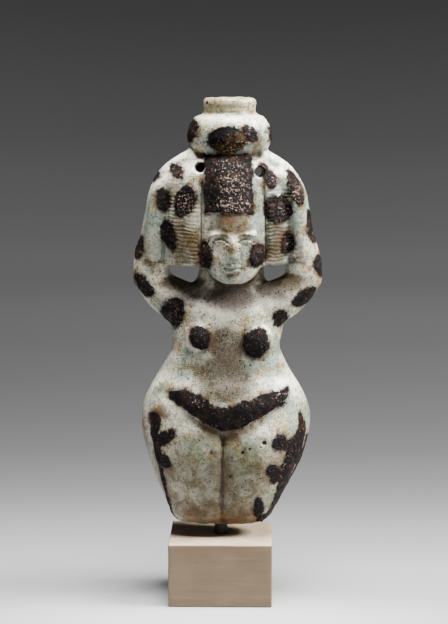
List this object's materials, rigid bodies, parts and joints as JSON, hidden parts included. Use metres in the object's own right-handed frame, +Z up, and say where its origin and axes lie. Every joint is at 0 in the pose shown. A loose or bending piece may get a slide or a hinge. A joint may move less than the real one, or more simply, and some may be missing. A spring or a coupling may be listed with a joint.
{
  "type": "female figure with vase",
  "caption": "Small glazed figure of a woman cut off above the knees, holding a hollow round jar on her head, pinned above a square block.",
  "frame": {"origin": "middle of the block's underside, on the ground", "axes": "+Z up along the figure, the figure looks along -Y, +X to her left"},
  "size_m": [0.0373, 0.0216, 0.0991],
  "materials": {
    "glaze": "worn pale blue-green glaze over sandy faience, with raised dark brown spots, cream and rust staining and small pits",
    "pin": "satin black paint",
    "block": "matt taupe paint, brushed on in level strokes"
  },
  "bodies": {
    "root": {"figure": "glaze", "mounting_pin": "pin", "mount_block": "block"}
  },
  "joints": []
}
